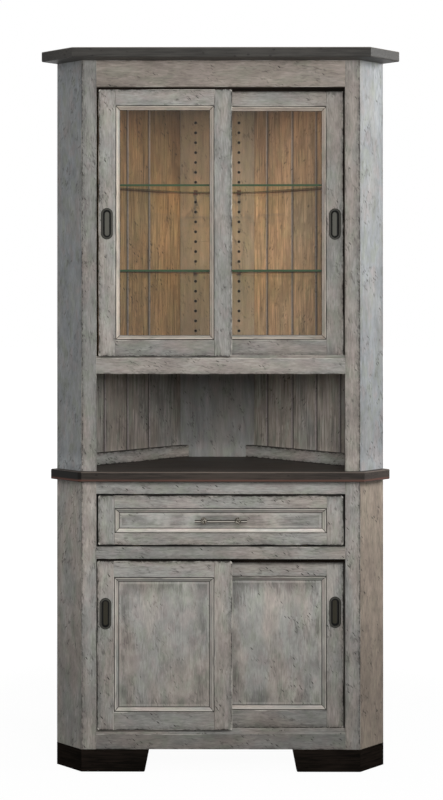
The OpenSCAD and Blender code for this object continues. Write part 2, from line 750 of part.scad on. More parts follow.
module glass_beads(door) {
    door_moulding(door, upper_door_h, glass_bottom_w);
    glass_stops(door, upper_door_h, glass_bottom_w);
}
module left_glass_door_bead() color(grey_paint) at_upper_left() glass_beads(upper_left_door);
module right_glass_door_bead() color(grey_paint) at_upper_right() glass_beads(upper_right_door);

module left_glass_door_pane() color(glass_green) at_upper_left()
    door_pane(upper_left_door, upper_door_h, glass_bottom_w);
module right_glass_door_pane() color(glass_green) at_upper_right()
    door_pane(upper_right_door, upper_door_h, glass_bottom_w);

module left_glass_door_pull() color(gunmetal) at_upper_left()
    translate([pull_in, 0, upper_pull_z - upper_door_z]) flush_pull();
module right_glass_door_pull() color(gunmetal) at_upper_right()
    translate([upper_door_w - pull_in, 0, upper_pull_z - upper_door_z]) flush_pull();

// Sub-parts: panelled doors

module left_panel_door_frame() color(grey_paint) at_base_left()
    door_frame(base_left_door, base_door_h, panel_bottom_w, true, pull_in,
        base_pull_z - base_door_z);
module right_panel_door_frame() color(grey_paint) at_base_right()
    door_frame(base_right_door, base_door_h, panel_bottom_w, true, base_door_w - pull_in,
        base_pull_z - base_door_z);

module left_panel_door_moulding() color(grey_paint) at_base_left()
    door_moulding(base_left_door, base_door_h, panel_bottom_w);
module right_panel_door_moulding() color(grey_paint) at_base_right()
    door_moulding(base_right_door, base_door_h, panel_bottom_w);

module left_panel_door_panel() color(grey_paint) at_base_left()
    door_panel(base_left_door, base_door_h, panel_bottom_w);
module right_panel_door_panel() color(grey_paint) at_base_right()
    door_panel(base_right_door, base_door_h, panel_bottom_w);

module left_panel_door_pull() color(gunmetal) at_base_left()
    translate([pull_in, 0, base_pull_z - base_door_z]) flush_pull();
module right_panel_door_pull() color(gunmetal) at_base_right()
    translate([base_door_w - pull_in, 0, base_pull_z - base_door_z]) flush_pull();

top_cap();
counter_top();
upper_left_stile();
upper_right_stile();
upper_top_rail();
upper_mid_rail();
upper_returns();
left_planks();
right_planks();
upper_back_panel();
sub_top();
display_deck();
glass_shelves();
shelf_supports();
light_housings();
light_lenses();
nook_cleats();
head_tracks();
sill_tracks();
base_left_stile();
base_right_stile();
base_top_rail();
drawer_rail();
base_bottom_rail();
base_returns();
base_walls();
base_back_panel();
base_floor();
dust_panel();
drawer_hangers();
slide_outer_members();
base_shelf();
left_foot();
right_foot();
rear_feet();
foot_blocks();
slide_middle_members();
drawer_front_frame();
drawer_front_panel();
drawer_front_moulding();
drawer_box();
drawer_bottom();
drawer_pull();
slide_inner_members();
left_glass_door_frame();
left_glass_door_bead();
left_glass_door_pane();
left_glass_door_pull();
right_glass_door_frame();
right_glass_door_bead();
right_glass_door_pane();
right_glass_door_pull();
left_panel_door_frame();
left_panel_door_moulding();
left_panel_door_panel();
left_panel_door_pull();
right_panel_door_frame();
right_panel_door_moulding();
right_panel_door_panel();
right_panel_door_pull();
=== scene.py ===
# %% [markdown]
# # A weathered corner hutch
#
# A corner hutch fills the corner of a dining room: a base with a drawer and
# two sliding doors, an open nook to serve from, and a lit display case behind
# two sliding glass doors. The CAD model gives every board its true place. This
# lesson dresses those boards: it eases their edges, lets dark glaze settle in
# the joints, and builds the paint, stain, glass and metal as node materials.
# We begin by loading the CAD model and noting how large it is, because what
# we add may not grow past it.

import json
import math
import random

import bmesh
import bpy
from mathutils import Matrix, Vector

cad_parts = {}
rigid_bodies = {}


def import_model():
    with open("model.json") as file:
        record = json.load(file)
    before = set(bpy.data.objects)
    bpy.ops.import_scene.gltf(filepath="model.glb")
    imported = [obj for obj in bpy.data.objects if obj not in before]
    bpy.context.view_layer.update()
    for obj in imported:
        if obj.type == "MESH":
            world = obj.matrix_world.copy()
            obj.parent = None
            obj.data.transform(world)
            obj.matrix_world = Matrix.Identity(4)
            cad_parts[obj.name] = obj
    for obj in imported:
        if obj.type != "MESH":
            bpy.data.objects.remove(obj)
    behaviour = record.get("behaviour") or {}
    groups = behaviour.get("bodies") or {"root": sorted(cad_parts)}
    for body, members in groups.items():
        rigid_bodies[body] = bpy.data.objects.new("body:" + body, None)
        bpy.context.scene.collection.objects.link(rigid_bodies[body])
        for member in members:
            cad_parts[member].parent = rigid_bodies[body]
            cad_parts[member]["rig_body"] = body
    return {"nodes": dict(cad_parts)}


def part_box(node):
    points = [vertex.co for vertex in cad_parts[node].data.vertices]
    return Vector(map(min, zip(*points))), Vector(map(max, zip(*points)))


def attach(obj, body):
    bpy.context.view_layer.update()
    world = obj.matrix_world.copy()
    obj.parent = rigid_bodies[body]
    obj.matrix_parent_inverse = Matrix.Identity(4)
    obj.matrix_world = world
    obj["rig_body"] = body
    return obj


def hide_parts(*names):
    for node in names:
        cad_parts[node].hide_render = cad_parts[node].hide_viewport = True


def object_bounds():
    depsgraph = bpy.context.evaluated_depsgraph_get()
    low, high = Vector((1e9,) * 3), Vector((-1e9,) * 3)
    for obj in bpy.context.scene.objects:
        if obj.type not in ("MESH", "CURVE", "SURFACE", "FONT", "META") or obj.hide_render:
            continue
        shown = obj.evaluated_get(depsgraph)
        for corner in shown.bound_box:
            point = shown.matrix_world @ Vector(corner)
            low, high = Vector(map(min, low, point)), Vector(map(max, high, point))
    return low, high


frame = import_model()
cad_box = [list(corner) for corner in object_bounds()]
size = [high - low for low, high in zip(*cad_box)]
print("The hutch is %.3f wide, %.3f deep and %.3f m high" % tuple(size))

# %% [markdown]
# ## Where we stand
#
# A long lens from almost five metres keeps the uprights upright. A camera
# that is tilted down would make them lean, so ours looks level, and the
# picture is shifted instead, as with the rising front of a view camera.

# %% Camera
MM = 0.001
face_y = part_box("upper_left_stile")[0].y
camera_view = bpy.data.cameras.new("Camera")
camera_view.lens = 71.41
camera_view.shift_x = 0.0631
camera_view.shift_y = -0.1355
camera = bpy.data.objects.new("Camera", camera_view)
camera.location = (-0.1212, face_y - 4.6953, 1.3987)
camera.rotation_euler = (math.pi / 2 + 0.0043, 0, 0.0055)
bpy.context.collection.objects.link(camera)
bpy.context.scene.camera = camera
bpy.context.scene.view_settings.view_transform = "Standard"
print("Camera", [round(x, 3) for x in camera.location])

# %% [markdown]
# ## Sums on a surface
#
# A painted board needs many small sums: this noise times that mask, darker
# near the edge. Written as nodes they fill a screen; written as Python they
# fill a line. So a small class holds one socket, and adding or multiplying it
# makes the Math node. Colours are kept apart from numbers, because a Math
# node turns a colour grey.


# %% One number that changes over a surface
class Number:
    """A socket of a finish. Sums on it add Math nodes."""

    def __init__(self, finish, socket):
        self.finish = finish
        self.socket = socket

    def __add__(self, other):
        return self.finish.sum("ADD", self, other)

    def __sub__(self, other):
        return self.finish.sum("SUBTRACT", self, other)

    def __rsub__(self, other):
        return self.finish.sum("SUBTRACT", other, self)

    def __mul__(self, other):
        return self.finish.sum("MULTIPLY", self, other)

    __radd__ = __add__
    __rmul__ = __mul__


# %% One finish
class Finish:
    """A node material. node() adds any node; the rest are words for common ones."""

    def __init__(self, name, **constants):
        self.material = bpy.data.materials.new(name)
        self.material.use_nodes = True
        self.tree = self.material.node_tree
        self.shader = self.tree.nodes["Principled BSDF"]
        for socket, value in constants.items():
            self.shader.inputs[socket.replace("_", " ")].default_value = value

    def feed(self, socket, value):
        if isinstance(value, Number):
            self.tree.links.new(value.socket, socket)
        else:
            socket.default_value = value

    def node(self, kind, settings, sockets, output=0):
        made = self.tree.nodes.new("ShaderNode" + kind)
        for name, value in settings.items():
            setattr(made, name, value)
        for name, value in sockets.items():
            self.feed(made.inputs[name], value)
        return Number(self, made.outputs[output])

    def sum(self, operation, first, second):
        return self.node("Math", {"operation": operation}, {0: first, 1: second})

    def larger(self, first, second):
        return self.sum("MAXIMUM", first, second)

    def size(self, number):
        return self.sum("ABSOLUTE", number, 0.0)

    def attribute(self, name, output="Fac"):
        return self.node("Attribute", {"attribute_name": name}, {}, output)

    def split(self, vector):
        parts = self.tree.nodes.new("ShaderNodeSeparateXYZ")
        self.feed(parts.inputs[0], vector)
        return [Number(self, output) for output in parts.outputs]

    def axes(self):
        return self.split(self.node("TexCoord", {}, {}, "Object"))

    def point(self, x, y, z):
        return self.node("CombineXYZ", {}, {0: x, 1: y, 2: z})

    def noise(self, vector, scale, detail=2.0, rough=0.5):
        sockets = {"Vector": vector, "Scale": scale, "Detail": detail, "Roughness": rough}
        return self.node("TexNoise", {}, sockets)

    def cells(self, vector, scale, output):
        return self.node("TexVoronoi", {}, {"Vector": vector, "Scale": scale}, output)

    def ramp(self, value, low, high):
        """0 below low, 1 above high, smooth between; turned round if low is the larger."""
        settings = {"interpolation_type": "SMOOTHSTEP"}
        return self.node("MapRange", settings, {"Value": value, "From Min": low, "From Max": high})

    def mix(self, share, first, second, blend="MIX"):
        settings = {"data_type": "RGBA", "blend_type": blend}
        return self.node("Mix", settings, {0: share, 6: first, 7: second}, 2)

    def length_of(self, vector):
        return self.node("VectorMath", {"operation": "LENGTH"}, {0: vector}, "Value")

    def scale(self, colour, amount):
        """A colour made lighter or darker."""
        return self.node("VectorMath", {"operation": "SCALE"}, {0: colour, "Scale": amount})

    def bump(self, height, depth, strength=1.0):
        sockets = {"Height": height, "Distance": depth, "Strength": strength}
        self.feed(self.shader.inputs["Normal"], self.node("Bump", {}, sockets))

    def set(self, **inputs):
        for socket, value in inputs.items():
            self.feed(self.shader.inputs[socket.replace("_", " ")], value)
        return self


def srgb(red, green, blue):
    """Screen colour, 0 to 255, as the linear colour that shaders use."""
    part = [c / 255 for c in (red, green, blue)]
    return (*[c / 12.92 if c <= 0.04045 else ((c + 0.055) / 1.055) ** 2.4 for c in part], 1.0)


print("Mid grey is", round(srgb(128, 128, 128)[0], 3), "in linear light")

# %% [markdown]
# ## The studio
#
# The hutch stands on a pale floor against white. If lamps were turned up until
# the background went white, the paint would wash out, so the background is
# white only to rays that come straight from the camera or are mirrored in
# metal and glass. The light on the hutch is a separate matter: a broad soft
# box high in front, another off to the right, and a weak even sky. The front
# one is kept out of mirror rays, or a glass door would show it as a white patch.


# %% White to the eye, dim to the paint
def seen_directly(finish):
    """1 for rays that look at a thing, straight or in a mirror or through glass."""
    rays = [
        finish.node("LightPath", {}, {}, "Is %s Ray" % name)
        for name in ("Camera", "Glossy", "Transmission")
    ]
    return finish.larger(finish.larger(rays[0], rays[1]), rays[2])


SKY, FLOOR_GLOW = 0.29, 1.07
world = bpy.data.worlds.new("Studio")
world.use_nodes = True
bpy.context.scene.world = world
sky = Finish.__new__(Finish)
sky.tree = world.node_tree
dim = sky.tree.nodes["Background"]
dim.inputs["Color"].default_value = (1, 1, 1, 1)
dim.inputs["Strength"].default_value = SKY
white = sky.node("Background", {}, {"Color": (1, 1, 1, 1), "Strength": 1.0})
both = sky.node("MixShader", {}, {0: seen_directly(sky), 1: Number(sky, dim.outputs[0]), 2: white})
sky.tree.links.new(both.socket, sky.tree.nodes["World Output"].inputs["Surface"])
print("Sky strength on the paint", SKY)

# %% Floor
floor_shape = bmesh.new()
bmesh.ops.create_circle(floor_shape, cap_ends=True, segments=64, radius=40)
floor_mesh = bpy.data.meshes.new("floor")
floor_shape.to_mesh(floor_mesh)
floor_shape.free()
floor = bpy.data.objects.new("floor", floor_mesh)
bpy.context.collection.objects.link(floor)
pale = Finish("pale_floor", Roughness=0.9, Base_Color=srgb(176, 176, 175))
across, back, up = pale.axes()
distance = pale.length_of(pale.point(across, back, 0.0))
far_away = pale.ramp(distance, 0.9, 2.4)
glow = pale.node("Emission", {}, {"Color": (1, 1, 1, 1), "Strength": FLOOR_GLOW})
share = seen_directly(pale) * (0.9 + 0.1 * far_away)
surface = pale.node("MixShader", {}, {0: share, 1: Number(pale, pale.shader.outputs[0]), 2: glow})
pale.tree.links.new(surface.socket, pale.tree.nodes["Material Output"].inputs["Surface"])
floor_mesh.materials.append(pale.material)
print("Floor of radius 40 m, which turns white beyond 2.4 m")


# %% Soft boxes
def soft_box(name, place, target, width, height, power):
    lamp = bpy.data.lights.new(name, "AREA")
    lamp.shape = "RECTANGLE"
    lamp.size, lamp.size_y = width, height
    lamp.energy = power
    box = bpy.data.objects.new(name, lamp)
    box.location = place
    box.rotation_euler = (Vector(target) - Vector(place)).to_track_quat("-Z", "Y").to_euler()
    bpy.context.collection.objects.link(box)
    return box


FRONT_POWER, RIGHT_POWER = 47, 23
front_place, right_place = (0.35, face_y - 2.6, 2.0), (3.2, face_y - 0.3, 2.5)
front_box = soft_box("front_box", front_place, (0, face_y, 1.4), 1.2, 1.2, FRONT_POWER)
front_box.visible_glossy = False
right_box = soft_box("right_box", right_place, (0.4, face_y, 2.1), 0.7, 1.0, RIGHT_POWER)
right_box.data.spread = math.radians(90)
print("Two soft boxes")

# %% [markdown]
# ## What a board tells its finish
#
# The case was painted a warm grey, dragged with a nearly dry brush, rubbed
# down, and glazed: a dark wiping stain that stays in corners, pores and dents.
# One picture of that, stretched over everything, would give all boards the
# same face. Noise is better, but noise in the hutch's own coordinates would
# run straight on from a stile into a rail. So each board carries a frame of
# its own, stored at its points:
#
# - *place*, how far a point lies across, through and along the board, from
#   its middle, and *half*, half of its width, thickness and length
# - *sides*, how open its low side, its high side and its ends are: 1 on the
#   outside of a door, 0 where another board is glued on
# - *board*, a number that no other board has, *tone*, which runs from cool (below 0) over warm (1)
#   to smoked brown (2), and *light*, how pale the coat is, which is partly painted light: paler or
#   darker for how much light falls on the board
#
# Place and half together tell how far any point is from an edge, so glaze
# lines can be a millimetre wide without a single extra face.


# %% Reading a board
class Board:
    """What the points of a board say, as numbers of a finish."""

    def __init__(self, finish):
        self.finish = finish
        self.across, self.through, self.along = finish.split(finish.attribute("place", "Vector"))
        self.width, self.thick, self.length = finish.split(finish.attribute("half", "Vector"))
        self.low, self.high, self.ends = finish.split(finish.attribute("sides", "Vector"))
        self.number = finish.attribute("board")
        self.tone = finish.attribute("tone")
        self.light = finish.attribute("light")
        self.eased = finish.attribute("eased")

    def grain(self, squeeze, shift=0.0, slant=0.0):
        """A point for noise, drawn out along the grain: the more, the smaller squeeze is."""
        x = self.across + self.along * slant + self.number * 9.0 + shift
        y = self.through + self.number * 5.0
        z = self.along * squeeze + self.number * 13.0
        return self.finish.point(x, y, z)

    def rim(self, depth, wobble=0.0, inset=0.0, blur=0.7):
        """1 at the open edges of the board, and 0 from depth inwards."""
        from_end = self.length - self.finish.size(self.along)
        reach = (self.across + self.width, self.width - self.across, from_end)
        rims = [
            self.finish.ramp(from_edge + wobble - inset, depth, depth * (1 - blur)) * openness
            for from_edge, openness in zip(reach, (self.low, self.high, self.ends))
        ]
        return self.finish.larger(self.finish.larger(rims[0], rims[1]), rims[2])

    def corner(self, depth, wobble=0.0):
        """1 at the corners where an open side meets an open end."""
        aside = self.finish.larger(
            self.finish.ramp(self.across + self.width + wobble, depth, 0.0) * self.low,
            self.finish.ramp(self.width - self.across + wobble, depth, 0.0) * self.high,
        )
        from_end = self.length - self.finish.size(self.along) + wobble
        return aside * self.finish.ramp(from_end, depth, 0.0) * self.ends


# %% [markdown]
# ## Brushed paint
#
# The painter's steps are the steps of the recipe. A coat that drifts between
# cool grey and taupe. Brush drag, long and thin, that makes it lighter and
# darker. Smears where the glaze caught. Ticks and specks from a wire wheel,
# most of them near edges. A glaze line that wobbles along each open edge, and
# on the eased edge itself spots rubbed back to light wood.


# %% The coat and its brush marks
GLAZE = srgb(56, 52, 48)
FLECK = srgb(34, 30, 27)
TONGUE = 5 * MM
PIN_COLUMN, FIRST_PIN, PIN_PITCH = 70 * MM, 1294 * MM, 32 * MM
LAST_PIN = FIRST_PIN + 21 * PIN_PITCH


def painted_base_light(paint):
    """Painted light: the base is painted paler than the upper case, and the more so toward its
    counter, for how the light falls on it.
    """
    height = paint.axes()[2]
    below_counter = paint.ramp(height, 0.95, 0.9)
    paler = paint.ramp(height, 0.25, 0.55) * 0.3 + paint.ramp(height, 0.6, 0.85) * 0.15
    return 1.0 + below_counter * paler


def coat(
    paint, board, cool, warm,
    drag=1.5, clouds=0.9, smear=0.5, long=0.13, roundness=0.3, clouds_size=34.0,
):
    """Painted colour and the noise of the brush strokes. Long: how far a stroke
    is drawn out (smaller is longer); roundness: how round the clouds are."""
    drifts = paint.noise(board.grain(roundness, 0.0, 0.04), clouds_size, 4.0, 0.6)
    tints = paint.noise(board.grain(0.3, 3.0), 17.0, 1.0)
    strokes = paint.noise(board.grain(long, 7.0), 250.0, 4.0, 0.7)
    colour = paint.mix(paint.ramp(tints + board.tone * 0.24 - 0.12, 0.34, 0.66), cool, warm)
    patches = paint.noise(board.grain(0.5, 5.0), 34.0, 2.0)
    colour = paint.mix(paint.ramp(patches, 0.5, 0.68) * 0.5, colour, OLIVE)
    colour = paint.mix(paint.ramp(patches, 0.48, 0.32) * 0.4, colour, ROSE)
    colour = paint.mix(paint.ramp(board.tone, 1.2, 2.0) * 0.75, colour, SMOKED)
    light = 1.0 + (drifts - 0.5) * clouds + (strokes - 0.5) * drag
    # Partly the coat's own paleness, partly painted light: the board's light value and the paler
    # base.
    colour = paint.scale(colour, light * board.light * painted_base_light(paint))
    gathered = paint.noise(board.grain(0.5, 13.0), 24.0, 3.0, 0.6)
    caught = paint.ramp(strokes, 0.47, 0.62) * paint.ramp(gathered, 0.5, 0.62)
    return paint.mix(caught * smear, colour, GLAZE), strokes, drifts


# %% The marks of wear
def wear(paint, board, colour, strokes, drifts, rubbed, line, flecks):
    ragged = paint.noise(board.grain(0.6, 17.0), 130.0, 3.0, 0.6)
    wobble = (ragged - 0.5) * (12 * MM)
    close = board.rim(12 * MM)
    gathered = paint.ramp(paint.noise(board.grain(0.7, 31.0), 27.0, 2.0), 0.5, 0.62)
    rubs = paint.noise(board.grain(0.3, 21.0, 0.25), 170.0, 3.0, 0.6)
    smudges = paint.ramp(rubs, 0.53, 0.68) * paint.larger(gathered, close * 0.7)
    spots = board.grain(0.38, 25.0, 0.7)
    spot = paint.cells(spots, 200.0, "Distance")
    chance, strength, _ = paint.split(paint.cells(spots, 200.0, "Color"))
    specks = paint.ramp(spot, 0.42, 0.2) * paint.ramp(chance + close * 0.12, 0.74, 0.78)
    specks = specks * paint.larger(gathered, close * 0.6) * (0.2 + strength)
    glazed = board.rim(3.6 * MM, wobble) * line
    haze = board.rim(18 * MM, wobble * 3.0, blur=1.0) * (line * 0.34)
    colour = paint.mix(haze, colour, GLAZE)
    colour = paint.mix(smudges * (flecks * 0.55), colour, GLAZE)
    colour = paint.mix(specks * flecks, colour, FLECK)
    colour = paint.mix(glazed, colour, FLECK)
    bare_corner = board.corner(9 * MM, wobble) * line * 1.6
    worn = paint.larger(bare_corner, board.eased * paint.ramp(drifts, 0.46, 0.6) * 0.8)
    colour = paint.mix(worn, colour, rubbed)
    paint.bump(strokes * 0.3 - specks, 0.5 * MM, 0.5)
    return paint.set(Base_Color=colour, Roughness=0.5 + ragged * 0.25)


def room_side(paint):
    """1 on the faces of the back and walls that look into the room, 0 on those at the wall."""
    facing = paint.split(paint.node("NewGeometry", {}, {}, "Normal"))[1]
    return paint.ramp(facing, 0.5, 0.3)


def vee_joints_lit_and_shaded(paint, board, colour, pale):
    """Tongue-and-groove joints: of each V the side that looks at you is painted pale as a
    highlight, the bottom keeps the glaze, and the edge beyond it is painted darker as shade."""
    from_low, from_high = board.across + board.width, board.width - board.across
    colour = paint.mix(paint.ramp(from_high, 8 * MM, 5 * MM) * 0.55, colour, GLAZE)
    colour = paint.mix(paint.ramp(from_low, TONGUE + 6 * MM, TONGUE + 4 * MM) * 0.8, colour, pale)
    bottom = paint.ramp(from_low, TONGUE + 1.6 * MM, TONGUE + 0.8 * MM)
    return paint.mix(bottom * 0.9, colour, FLECK)


def pin_rings_glaze_and_shade(paint, colour):
    """A dark ring round the pin holes of the back panel: glaze that gathered there, and painted
    shade that makes the holes read larger.
    """
    x, y, z = paint.axes()
    aside = paint.size(paint.size(x) - PIN_COLUMN)
    beside = paint.sum("PINGPONG", z - FIRST_PIN, PIN_PITCH / 2)
    away = paint.length_of(paint.point(aside, 0.0, beside))
    above_first = paint.ramp(z, FIRST_PIN - 8 * MM, FIRST_PIN - 7 * MM)
    among = above_first * paint.ramp(z, LAST_PIN + 8 * MM, LAST_PIN + 7 * MM)
    ring = paint.ramp(away, 5.4 * MM, 4.0 * MM) * among * room_side(paint)
    return paint.mix(ring, colour, FLECK)


def brushed_paint(
    name, cool, warm, rubbed, line=0.85, lamp_light_tint=None, ceiling_shade=0.3, vees=False, pins=False, **look
):
    """The tint paints the lamps' warm light into the colour inside the display, and the number
    after it is how much darker painted shade makes it under the ceiling.
    """
    paint = Finish(name, Specular_IOR_Level=0.25)
    board = Board(paint)
    colour, strokes, drifts = coat(paint, board, cool, warm, **look)
    # Painted light: inside the display the colour is tinted warm and made brighter for the lamps.
    if lamp_light_tint:
        height = paint.axes()[2]
        in_display = paint.ramp(height, DECK - 1 * MM, DECK) * room_side(paint)
        colour = paint.mix(in_display, colour, lamp_light_tint, "MULTIPLY")
        # Painted shade: darker toward the ceiling of the display.
        near_ceiling = paint.ramp(height, 1.6, 2.02)
        colour = paint.scale(colour, 1.0 - near_ceiling * room_side(paint) * ceiling_shade)
    if vees:
        colour = vee_joints_lit_and_shaded(paint, board, colour, rubbed)
    if pins:
        colour = pin_rings_glaze_and_shade(paint, colour)
    return wear(paint, board, colour, strokes, drifts, rubbed, line, 1.0)


# %% The paints of the case
COOL, WARM, RUBBED = srgb(143, 142, 138), srgb(151, 144, 137), srgb(202, 197, 188)
OLIVE, ROSE, SMOKED = srgb(136, 140, 128), srgb(150, 139, 136), srgb(150, 134, 118)
case_paint = brushed_paint("case_paint", COOL, WARM, RUBBED)
return_paint = brushed_paint(
    "return_paint", srgb(140, 143, 145), srgb(143, 143, 141), RUBBED,
    drag=1.0, clouds=0.8, smear=0.5,
)
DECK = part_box("display_deck")[0].z
# Warm multipliers that paint the display lamps' light into the colour: the right wall and the back
# are painted brighter than the left wall.
PAINTED_LAMP_LIGHT = (1.42, 1.08, 0.76, 1.0)
PAINTED_LAMP_LIGHT_LEFT, PAINTED_LAMP_LIGHT_RIGHT = (1.26, 0.92, 0.56, 1.0), (1.49, 1.16, 0.87, 1.0)
PAINTED_LAMP_LIGHT_BACK = (1.55, 1.28, 1.0, 1.0)
plank_paints = [
    brushed_paint(
        side + "_plank_paint", srgb(137, 135, 130), srgb(144, 136, 127), srgb(158, 149, 147),
        line=0.7, lamp_light_tint=lamp_tint, ceiling_shade=0.5, vees=True, drag=2.9, clouds=1.2, smear=0.5,
        long=0.035, roundness=0.1, clouds_size=40.0,
    )
    for side, lamp_tint in (("left", PAINTED_LAMP_LIGHT_LEFT), ("right", PAINTED_LAMP_LIGHT_RIGHT))
]
ply_paint = brushed_paint(
    "ply_paint", srgb(132, 133, 130), srgb(140, 136, 129), srgb(170, 164, 154),
    line=0.5, lamp_light_tint=PAINTED_LAMP_LIGHT, drag=0.8, clouds=0.7, smear=0.2, long=0.08,
)
back_paint = brushed_paint(
    "back_paint", srgb(134, 134, 132), srgb(140, 137, 132), srgb(170, 164, 154),
    line=0.5, lamp_light_tint=PAINTED_LAMP_LIGHT_BACK, pins=True, drag=0.9, clouds=1.0, smear=0.2,
    long=0.06, roundness=0.15,
)
# The pin holes are painted near black: painted shade for the dark inside them.
painted_hole_shade = Finish("painted_hole_shade", Base_Color=srgb(10, 8, 6), Roughness=0.9, Specular_IOR_Level=0.0)
print("Six paints over one recipe, and dark wood for the pin holes")

# %% [markdown]
# ## Panels and mouldings
#
# A panel sits in a frame of mouldings. The rubbing pad can't reach into its corners, so the glaze
# stays there as a haze, with a pale line where the pad ran along the moulding. On the mouldings it
# fills the outer quirk, the step and the foot, and each mitre, where the dark is painted shade as
# well as glaze; the pale top of the bead is rubbed back and painted as a highlight both. *Inward*
# runs from 0 at the outside of a moulding to 1 at its foot.


# %% Paint for panels
MOULDING_WIDTH = 14 * MM


def panel_coat(name, visible_from):
    paint = Finish(name, Specular_IOR_Level=0.25)
    board = Board(paint)
    look = {"drag": 1.3, "clouds": 1.1, "smear": 0.3, "roundness": 0.5, "clouds_size": 26.0}
    colour, strokes, drifts = coat(paint, board, COOL, WARM, **look)
    wobble = (strokes - 0.5) * (14 * MM)
    haze = board.rim(60 * MM, wobble * 3.0, visible_from, blur=1.0)
    pale = board.rim(9 * MM, wobble * 0.3, visible_from, blur=0.3)
    colour = paint.mix(haze * (1.0 - pale) * paint.ramp(drifts, 0.68, 0.4) * 0.42, colour, GLAZE)
    colour = paint.mix(board.rim(1.8 * MM, wobble * 0.1, visible_from) * 0.75, colour, FLECK)
    return wear(paint, board, colour, strokes, drifts, RUBBED, 0.0, 0.7)


def moulding_coat(name, cool, warm, rubbed):
    paint = Finish(name, Specular_IOR_Level=0.25)
    board = Board(paint)
    colour, strokes, drifts = coat(paint, board, cool, warm, 1.2, 0.9, 0.3)
    inward = paint.attribute("inward")
    wobble = (strokes - 0.5) * 0.1
    # Painted highlight as well as wear on the top of the bead; painted shade as well as glaze in
    # the quirk, at the foot and beside each mitre.
    crest_wear_and_highlight = paint.ramp(paint.size(inward - 0.3 + wobble), 0.2, 0.06)
    colour = paint.mix(crest_wear_and_highlight * paint.ramp(drifts, 0.3, 0.5) * 0.9, colour, rubbed)
    beside_mitre = (board.length - paint.size(board.along) - inward * MOULDING_WIDTH) * 0.707
    quirk_glaze_and_shade = paint.ramp(inward + wobble, 0.19, 0.12)
    quirk_glaze_and_shade = paint.larger(quirk_glaze_and_shade, paint.ramp(inward + wobble, 0.84, 0.94) * 0.9)
    quirk_glaze_and_shade = paint.larger(quirk_glaze_and_shade, paint.ramp(beside_mitre, 1.3 * MM, 0.4 * MM))
    colour = paint.mix(quirk_glaze_and_shade * 0.9, colour, FLECK)
    paint.bump(strokes, 0.2 * MM, 0.5)
    return paint.set(Base_Color=colour, Roughness=0.5)


HIDDEN = 7 * MM + MOULDING_WIDTH
panel_paint = panel_coat("panel_paint", HIDDEN)
moulding_paint = moulding_coat("moulding_paint", COOL, WARM, RUBBED)
BEAD_COLOURS = srgb(150, 146, 140), srgb(160, 148, 136), srgb(206, 196, 184)
bead_paint = moulding_coat("bead_paint", *BEAD_COLOURS)
print("Panel and moulding paints")

# %% [markdown]
# ## Espresso stain
#
# The cap, the counter and the feet are stained nearly black and waxed. Only a little grain shows,
# and the edges have rubbed through to a dark brown, so the colour is two browns mixed by fine
# noise, with a soft shine. The paler band along the top edge is that rubbing and a painted
# highlight both, and the counter's left return is painted darker as shade.


# %% Stain
RED_BROWN = srgb(108, 74, 64)
LEFT_RETURN = -435 * MM


def stain(name, dark, brown, edge_brown, shine, left_return_shade=0.0):
    """Stain and wax; the last number darkens the left return, painted shade for the side that gets
    little light.
    """
    wax = Finish(name, Specular_IOR_Level=shine)
    board = Board(wax)
    fibres = wax.noise(board.grain(0.05), 260.0, 3.0, 0.6)
    drifts = wax.noise(board.grain(0.3, 5.0), 13.0, 2.0)
    colour = wax.mix(wax.ramp(fibres + (drifts - 0.5) * 0.7, 0.3, 0.75), dark, brown)
    dents = wax.ramp(wax.cells(board.grain(0.6, 9.0), 45.0, "Distance"), 0.16, 0.08)
    colour = wax.mix(dents * 0.5, colour, srgb(14, 12, 11))
    # A paler band along the top edge: rubbing, and a painted highlight.
    from_top = board.thick - board.through
    arris_wear_and_highlight = wax.ramp(from_top, 3.4 * MM, 2.0 * MM) * wax.ramp(from_top, 0.1 * MM, 0.4 * MM)
    colour = wax.mix(arris_wear_and_highlight * (0.3 + drifts * 0.8), colour, edge_brown)
    if left_return_shade:
        x, y, z = wax.axes()
        beyond = wax.ramp(x + (y - face_y), LEFT_RETURN + 1.5 * MM, LEFT_RETURN - 1.5 * MM)
        left_return = beyond * wax.ramp(z, 0.8875, 0.887)
        colour = wax.mix(left_return * left_return_shade, colour, srgb(12, 11, 10))
        lower_edge = wax.ramp(z, 0.868, 0.862) * wax.ramp(z, 0.859, 0.861) * (0.3 + drifts * 0.7)
        colour = wax.mix(lower_edge, colour, RED_BROWN)
    wax.bump(fibres - dents, 0.2 * MM, 0.5)
    return wax.set(Base_Color=colour, Roughness=0.38 + drifts * 0.2)


cap_stain = stain("cap_stain", srgb(54, 53, 51), srgb(74, 72, 69), srgb(122, 116, 110), 0.12)
counter_stain = stain(
    "counter_stain", srgb(49, 45, 42), srgb(72, 65, 60), srgb(116, 106, 98), 0.12, left_return_shade=0.95
)
foot_stain = stain("foot_stain", srgb(18, 16, 14), srgb(37, 31, 27), srgb(58, 50, 44), 0.0)
print("Three stains")

# %% [markdown]
# ## Bare maple, metals, glass and lamp
#
# The drawer box is clear-lacquered maple. The finger pulls are a dark bronze,
# the drawer pull antique pewter, and the drawer slides zinc. Window glass is
# thin, so its panes let light straight through and only mirror a little: a
# Transparent shader and a pinch of a Glossy one. The shelves are thicker, and
# their ground edges are green.


# %% Maple
def bare_wood(name, light, dark):
    wood = Finish(name, Roughness=0.42, Specular_IOR_Level=0.3)
    board = Board(wood)
    wave = wood.noise(board.grain(0.12), 38.0, 3.0)
    rings = wood.noise(wood.point(wave * 6.0, wave * 3.0, 0.0), 5.0, 2.0)
    pores = wood.noise(board.grain(0.03, 4.0), 900.0, 2.0)
    colour = wood.mix(wood.ramp(rings + (pores - 0.5) * 0.3, 0.3, 0.75), light, dark)
    colour = wood.mix(board.eased * 0.3, colour, dark)
    wood.bump(pores, 0.05 * MM, 0.4)
    return wood.set(Base_Color=colour)


